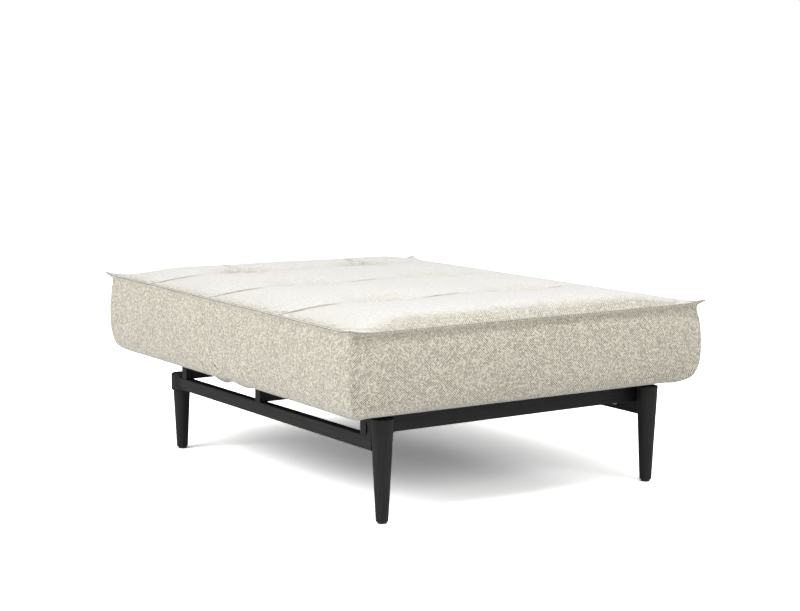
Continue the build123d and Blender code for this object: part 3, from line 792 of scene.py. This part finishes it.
def creased(points, normals):
    """Points moved along their normals for the sewn rows, the pleats at the tufts, the tucks inside the
    flange, the slack of the sides, and the fold seam with its bunched fabric."""
    x, y, z = points.T
    inset = np.minimum(half_width - np.abs(x), half_length - np.abs(y))
    top = np.clip((normals[:, 2] - top_slope) / top_slope_run, 0, 1) * (z > top_foot)
    inner = top * np.clip((inset - inner_inset) / inner_run, 0, 1)
    out = np.zeros(len(points))
    for number, row_y in enumerate((row_front_y, fold_y, row_rear_y)):
        gap = np.abs(y - row_y)
        out -= inner * row_groove_depth * np.exp(-((gap / row_groove_reach) ** 2))
        side = np.where(y > row_y, 1.0, -1.0)
        ripples = sine_field(np.stack([x, side * 0.05], 1), (ripple_length, 0.1), ripple_seed + number)
        fading = np.exp(-gap / ripple_reach) * np.clip(gap / ripple_start, 0, 1)
        out += inner * ripple_height * ripples * fading
        for column in (-1, 1):
            far_x, far_y = x - column * tuft_x, y - row_y
            far = np.hypot(far_x, far_y)
            angle = np.arctan2(far_y, far_x)
            spokes = np.cos(pleat_counts[0] * angle + number + column)
            spokes += pleat_second_share * np.cos(pleat_counts[1] * angle + 2.0 * column)
            out += inner * pleat_height * spokes * np.exp(-(((far - pleat_ring) / pleat_spread) ** 2))
    on_long_side = half_width - np.abs(x) < half_length - np.abs(y)
    around = np.where(on_long_side, y, x)
    which = np.where(on_long_side, np.sign(x), 2 * np.sign(y)) * side_spacing
    tucks = sine_field(np.stack([around, which], 1), (tuck_length, 0.1), tuck_seed)
    out += top * tuck_height * tucks * np.exp(-(((inset - tuck_inset) / tuck_spread) ** 2))
    side = (1 - top) * np.clip((side_top - z) / side_top_run, 0, 1)
    side *= np.clip((z - side_foot) / side_foot_run, 0, 1)
    places = np.stack([around, which, z], 1)
    out += side * slack_height * sine_field(places, slack_lengths, slack_seed)
    out += side * crimp_height * sine_field(places, crimp_lengths, crimp_seed)
    long_side = side * (half_width - np.abs(x) < long_side_reach)
    long_side *= np.abs(y) < half_length - long_side_end
    gap = y - fold_y - fold_side_lead
    high = np.clip((z - fold_groove_foot) / fold_groove_run, 0, 1)
    out -= long_side * high * fold_groove_depth * np.exp(-((gap / fold_groove_spread) ** 2))
    ridges = np.exp(-(((np.abs(gap) - fold_ridge_place) / fold_ridge_spread) ** 2))
    out += long_side * fold_ridge_height * ridges
    low = np.clip((bunch_top - z) / bunch_run, 0, 1)
    for slope, place, depth, spread in bunch_creases:
        line = (gap - place + slope * (bunch_pivot - z)) / math.hypot(1, slope)
        ridge = np.exp(-(((line - bunch_ridge_place * spread) / (bunch_ridge_spread * spread)) ** 2))
        out -= long_side * depth * low * np.exp(-((line / spread) ** 2))
        out += long_side * depth * bunch_ridge_share * low * ridge
    return points + normals * out[:, None]


def add_painted_sheen(mesh):
    """Keeps on the mesh how much painted sheen each point has: all of it where the cover lies flat, none on
    slopes. The paler top that it gives is painted light, for the light and sheen that fall on the top."""
    low, high = painted_sheen_slopes
    flat = np.clip((read_normals(mesh)[:, 2] - low) / (high - low), 0, 1)
    painted_sheen = mesh.attributes.new("painted_sheen", "FLOAT", "POINT")
    painted_sheen.data.foreach_set("value", (flat * flat * (3 - 2 * flat)).astype(np.float32))


def make_mattress(fabric):
    """The mattress of both panels, in one cover."""
    points, faces, weave, upright = cover_mesh()
    mesh = bpy.data.meshes.new("mattress")
    mesh.from_pydata(points.tolist(), [], faces)
    weave_map = mesh.uv_layers.new(name="weave")
    weave_map.data.foreach_set("uv", weave.astype(np.float32).ravel())
    crease = mesh.attributes.new("crease_edge", "FLOAT", "EDGE")
    creases = [corner_crease * (tuple(sorted(edge.vertices)) in upright) for edge in mesh.edges]
    crease.data.foreach_set("value", creases)
    mattress = bpy.data.objects.new("mattress", mesh)
    bpy.context.scene.collection.objects.link(mattress)
    write_points(mesh, filled(mattress, points, held_share(points)))
    mattress.modifiers.new("finer", "SUBSURF").levels = 1
    evaluated = mattress.evaluated_get(bpy.context.evaluated_depsgraph_get())
    finer = bpy.data.meshes.new_from_object(evaluated)
    mattress.modifiers.clear()
    mattress.data = finer
    write_points(finer, settled(creased(read_points(finer), read_normals(finer))))
    # Painted sheen of the flat top, kept on the mesh as a value per point
    add_painted_sheen(finer)
    finer.shade_smooth()
    finer.name = "mattress_cover"
    finer.materials.clear()
    finer.materials.append(fabric)
    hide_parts("seat_pad", "back_pad")
    return mattress


def seam_lines(surface):
    """Points of every sewn line that shows, found on the finished cover: the rows from above, the two rounds
    of the flange from above and from outside, and the fold seam from both sides."""
    lines = []
    down = Vector((0, 0, -1))
    reach = half_width - row_end_inset
    places = np.arange(-reach, reach, seam_step)
    for row_y in (row_front_y, fold_y, row_rear_y):
        even = np.ones_like(places)
        row = np.stack([places, even * (row_y + row_stitch_lead), even * clear_place], 1)
        lines.append([surface.ray_cast(Vector(start), down)[0] for start in settled(row)])
    for ring, lean in ((flange_rings[1], 0.0), (flange_rings[4], 1.0)):
        half_x, half_y = half_width - ring[0], half_length - ring[0]
        along_x = np.arange(-half_x, half_x, seam_step)
        along_y = np.arange(-half_y, half_y, seam_step)
        end_x, end_y = np.full_like(along_y, half_x), np.full_like(along_x, half_y)
        across = np.concatenate([along_x, end_x, -along_x, -end_x]) / half_x
        along = np.concatenate([-end_y, along_y, end_y, -along_y]) / half_y
        around = ring_points(across, along, ring)
        outward = around - ring_points(across, along, flange_rings[0])
        outward[:, 2] = 0.0
        outward *= lean / np.linalg.norm(outward, axis=1)[:, None]
        outward[:, 2] = 1.0
        starts = settled(around) + ray_reach * outward
        row = [surface.ray_cast(Vector(start), Vector(-way))[0] for start, way in zip(starts, outward)]
        lines.append([*row, row[0]])
    seam_y = fold_y + fold_side_lead + side_stitch_lead
    for side in (-1, 1):
        heights = np.arange(side_top, side_seam_foot, -side_seam_step)
        starts = [Vector((side * clear_place, seam_y, z)) for z in heights]
        inward = Vector((-side, 0, 0))
        lines.append([surface.ray_cast(start, inward)[0] + inward * side_stitch_sink for start in starts])
    return lines


def stitch_tree():
    """Node group that sets a sewn stitch at every step of a line."""
    tree = bpy.data.node_groups.new("sewn_line", "GeometryNodeTree")
    face = tree.interface
    face.new_socket("Line", in_out="INPUT", socket_type="NodeSocketGeometry")
    for name in ("Pitch", "Length", "Radius"):
        face.new_socket(name, in_out="INPUT", socket_type="NodeSocketFloat")
    face.new_socket("Thread", in_out="INPUT", socket_type="NodeSocketMaterial")
    face.new_socket("Stitches", in_out="OUTPUT", socket_type="NodeSocketGeometry")

    def add(kind, sockets=None, **settings):
        node = tree.nodes.new(kind)
        for key, setting in settings.items():
            setattr(node, key, setting)
        for key, source in (sockets or {}).items():
            if isinstance(source, bpy.types.NodeSocket):
                tree.links.new(source, node.inputs[key])
            else:
                node.inputs[key].default_value = source
        return node

    given = add("NodeGroupInput").outputs
    curve = add("GeometryNodeMeshToCurve", {"Mesh": given["Line"]})
    spots = add(
        "GeometryNodeCurveToPoints", {"Curve": curve.outputs[0], "Length": given["Pitch"]}, mode="LENGTH"
    )
    ball = add("GeometryNodeMeshUVSphere", {"Segments": 6, "Rings": 5, "Radius": 1.0})
    half = add("ShaderNodeMath", {0: given["Length"], 1: 0.5}, operation="MULTIPLY")
    size = add("ShaderNodeCombineXYZ", {0: given["Radius"], 1: given["Radius"], 2: half.outputs[0]})
    stitch = add("GeometryNodeTransform", {"Geometry": ball.outputs["Mesh"], "Scale": size.outputs[0]})
    placed = add(
        "GeometryNodeInstanceOnPoints",
        {
            "Points": spots.outputs["Points"],
            "Instance": stitch.outputs[0],
            "Rotation": spots.outputs["Rotation"],
        },
    )
    real = add("GeometryNodeRealizeInstances", {"Geometry": placed.outputs[0]})
    painted = add("GeometryNodeSetMaterial", {"Geometry": real.outputs[0], "Material": given["Thread"]})
    add("NodeGroupOutput", {0: painted.outputs[0]})
    return tree


def make_stitches(surface, material):
    """Every sewn line of the cover, as stitches."""
    points, edges = [], []
    for line in seam_lines(surface):
        first = len(points)
        points.extend(line)
        edges.extend((number, number + 1) for number in range(first, len(points) - 1))
    mesh = bpy.data.meshes.new("sewn_lines")
    mesh.from_pydata([tuple(point) for point in points], edges, [])
    stitches = bpy.data.objects.new("cover_stitches", mesh)
    bpy.context.scene.collection.objects.link(stitches)
    tree = stitch_tree()
    modifier = stitches.modifiers.new("sewing", "NODES")
    modifier.node_group = tree
    values = {"Pitch": stitch_pitch, "Length": stitch_length, "Radius": stitch_radius, "Thread": material}
    for item in tree.interface.items_tree:
        if item.name in values:
            modifier[item.identifier] = values[item.name]
    evaluated = stitches.evaluated_get(bpy.context.evaluated_depsgraph_get())
    sewn = bpy.data.meshes.new_from_object(evaluated)
    stitches.modifiers.clear()
    stitches.data = sewn
    sewn.shade_smooth()
    return stitches


def bend_with_fold(piece):
    """Bakes a piece's transform into its mesh."""
    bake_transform(piece)


def studio():
    """Camera, floor, soft lamps and white surroundings."""
    scene = bpy.context.scene
    scene.view_settings.view_transform = "Standard"
    camera = bpy.data.objects.new("camera", bpy.data.cameras.new("camera"))
    camera.data.lens, camera.data.sensor_width = camera_lens, camera_sensor
    camera.location = camera_place
    aim = Vector(camera_view).to_track_quat("-Z", "Y")
    camera.rotation_euler = (aim @ Quaternion((0, 0, 1), camera_roll)).to_euler()
    scene.collection.objects.link(camera)
    scene.camera = camera

    floor_mesh = bpy.data.meshes.new("floor")
    reach = floor_reach
    corners = [(-reach, -reach, 0), (reach, -reach, 0), (reach, reach, 0), (-reach, reach, 0)]
    floor_mesh.from_pydata(corners, [], [(0, 1, 2, 3)])
    floor = bpy.data.objects.new("floor", floor_mesh)
    scene.collection.objects.link(floor)
    shader = Shader("floor_paint", roughness=0.9, specular_ior_level=0.0)
    shader.colour((floor_albedo,) * 3)
    away = shader.add("VectorMath", {"operation": "DISTANCE"}, {0: shader.place(), 1: shadow_centre})
    far = shader.steps(Value(shader, away.outputs["Value"]), *shadow_fade)
    lit = shader.mix(far, (0.0, 0.0, 0.0), (floor_glow,) * 3)
    path = shader.add("LightPath")
    glow = shader.add("Emission", {}, {"Color": lit, "Strength": 1.0})
    bleach = shader.add("BsdfDiffuse", {}, {"Color": (floor_bleach,) * 3})
    paint = shader.surface.outputs[0]
    both = shader.add("AddShader", {}, {0: paint, 1: bleach.outputs[0]})
    shown = shader.add("AddShader", {}, {0: both.outputs[0], 1: glow.outputs[0]})
    seen = shader.add("MixShader", {}, {0: path.outputs["Is Camera Ray"], 1: paint, 2: shown.outputs[0]})
    shader.feed(shader.tree.nodes["Material Output"].inputs["Surface"], seen.outputs[0])
    floor_mesh.materials.append(shader.material)

    for name, place, target, size, power in lamps:
        lamp = bpy.data.objects.new(name, bpy.data.lights.new(name, "AREA"))
        lamp.data.shape = "RECTANGLE"
        lamp.data.size, lamp.data.size_y = size
        lamp.data.energy = power
        lamp.location = place
        lamp.rotation_euler = (Vector(target) - Vector(place)).to_track_quat("-Z", "Y").to_euler()
        scene.collection.objects.link(lamp)

    world = bpy.data.worlds.new("surroundings")
    world.use_nodes = True
    scene.world = world
    nodes, links = world.node_tree.nodes, world.node_tree.links
    lighting = nodes["Background"]
    lighting.inputs["Color"].default_value = (1, 1, 1, 1)
    lighting.inputs["Strength"].default_value = world_light
    white = nodes.new("ShaderNodeBackground")
    white.inputs["Color"].default_value = (1, 1, 1, 1)
    white.inputs["Strength"].default_value = 1.0
    path = nodes.new("ShaderNodeLightPath")
    mixed = nodes.new("ShaderNodeMixShader")
    links.new(path.outputs["Is Camera Ray"], mixed.inputs[0])
    links.new(lighting.outputs[0], mixed.inputs[1])
    links.new(white.outputs[0], mixed.inputs[2])
    links.new(mixed.outputs[0], nodes["World Output"].inputs["Surface"])


finish_frame()
mattress = make_mattress(tweed())
surface = BVHTree.FromPolygons(
    [vertex.co for vertex in mattress.data.vertices], [face.vertices for face in mattress.data.polygons]
)
stitches = make_stitches(surface, thread())
bend_with_fold(mattress)
bend_with_fold(stitches)
studio()
